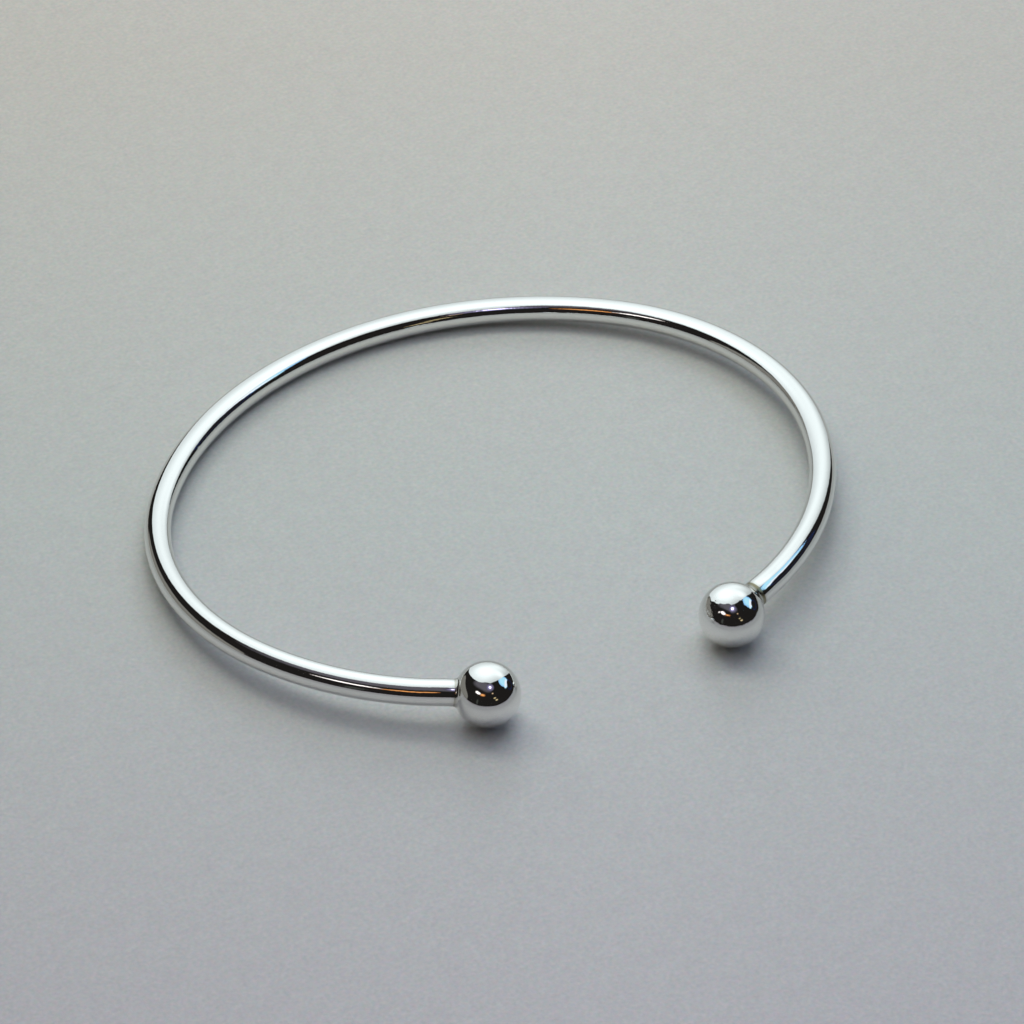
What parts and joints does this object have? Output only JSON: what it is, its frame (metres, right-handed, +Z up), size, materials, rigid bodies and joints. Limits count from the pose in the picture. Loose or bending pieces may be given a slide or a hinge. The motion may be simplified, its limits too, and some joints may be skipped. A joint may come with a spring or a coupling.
{
  "type": "torque bangle",
  "caption": "Open oval bangle of round polished silver wire with a soldered ball on each end and a gap between them for the wrist.",
  "frame": {"origin": "bottom centre of the whole bangle's box, on the surface that it lies on", "axes": "+X along the oval's long way, -Y out through the opening between the balls, +Z up off the table"},
  "size_m": [0.067, 0.06, 0.0061],
  "materials": {
    "silver": "polished sterling silver, hand buffed, with hairline wear and a little dark tarnish in the solder"
  },
  "bodies": {
    "root": {"bangle": "silver"}
  },
  "joints": []
}
